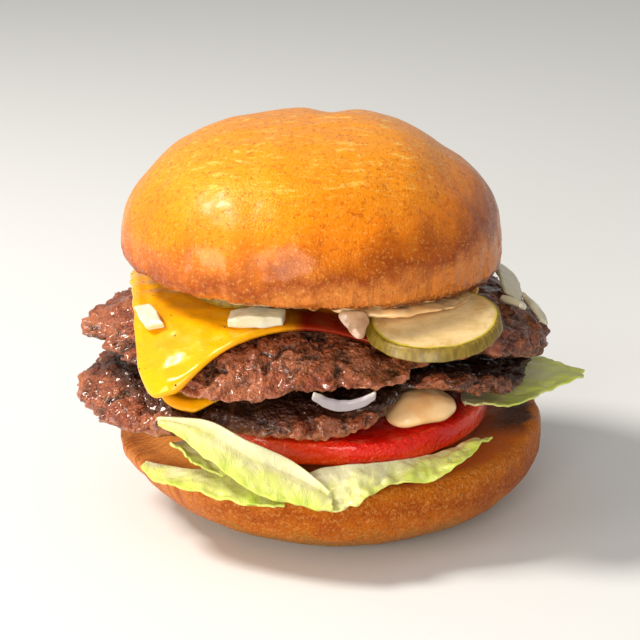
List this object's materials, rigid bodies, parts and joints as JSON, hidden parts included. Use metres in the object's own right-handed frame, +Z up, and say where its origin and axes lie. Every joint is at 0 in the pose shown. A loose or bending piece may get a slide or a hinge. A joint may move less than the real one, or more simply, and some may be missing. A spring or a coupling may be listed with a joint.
{
  "type": "double cheeseburger",
  "caption": "Tall cheeseburger: smashed beef patties with melted cheese, pickle, onion, tomato, lettuce and sauce in a soft glazed bun",
  "frame": {"origin": "middle of the flat underside of the bottom bun, on the surface that the burger stands on", "axes": "+Z up through the stack, -Y towards the front that shows the cheese corner and the pickle, +X to the right of that front"},
  "size_m": [0.1312, 0.1194, 0.1015],
  "materials": {
    "bun_crust": "soft egg-glazed crust, satin",
    "beef": "rough, browned and greasy",
    "cheese": "melted, glossy",
    "sauce": "wet, glossy",
    "tomato": "wet cut flesh and skin",
    "pickle": "wet, translucent",
    "onion": "wet, translucent",
    "lettuce_green": "waxy leaf",
    "lettuce_pale": "waxy pale leaf and rib"
  },
  "bodies": {
    "root": {"bun_bottom": "bun_crust", "bun_top": "bun_crust", "patty_lower": "beef", "patty_upper": "beef", "cheese_lower": "cheese", "cheese_upper": "cheese", "sauce_dollop": "sauce", "sauce_top": "sauce", "tomato": "tomato", "pickle_right": "pickle", "pickle_left": "pickle", "pickle_back": "pickle", "onion_cheese": "onion", "onion_front": "onion", "onion_gap": "onion", "onion_right_1": "onion", "onion_right_2": "onion", "onion_right_3": "onion", "onion_back_1": "onion", "onion_back_2": "onion", "lettuce_low": "lettuce_green", "lettuce_right": "lettuce_green", "lettuce_back": "lettuce_green", "lettuce_curl": "lettuce_pale", "lettuce_rib": "lettuce_pale", "lettuce_front": "lettuce_pale"}
  },
  "joints": []
}
